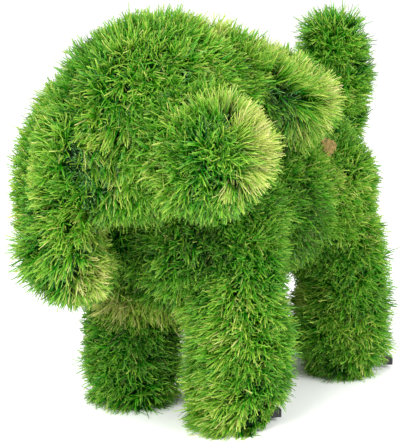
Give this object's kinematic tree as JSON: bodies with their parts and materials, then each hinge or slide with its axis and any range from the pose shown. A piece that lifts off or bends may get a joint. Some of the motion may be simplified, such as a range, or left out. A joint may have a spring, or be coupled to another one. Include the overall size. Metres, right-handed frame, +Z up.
{
  "type": "artificial grass dog figure",
  "caption": "Standing puppy figure covered all over in artificial turf, head turned to its left, upright tail, black lugs low on the feet.",
  "frame": {"origin": "on the ground, under the middle of the figure's bounding box", "axes": "+Z up, the dog faces -Y, its left side is +X"},
  "size_m": [0.3084, 0.5396, 0.4412],
  "materials": {
    "turf": "artificial grass pile, mixed dark green, leaf green and yellow-green blades",
    "lug": "black moulded plastic, slightly worn"
  },
  "bodies": {
    "root": {"grass_dog": "turf", "ground_lug_front_left": "lug", "ground_lug_front_right": "lug", "ground_lug_hind_left": "lug", "ground_lug_hind_right": "lug"}
  },
  "joints": []
}
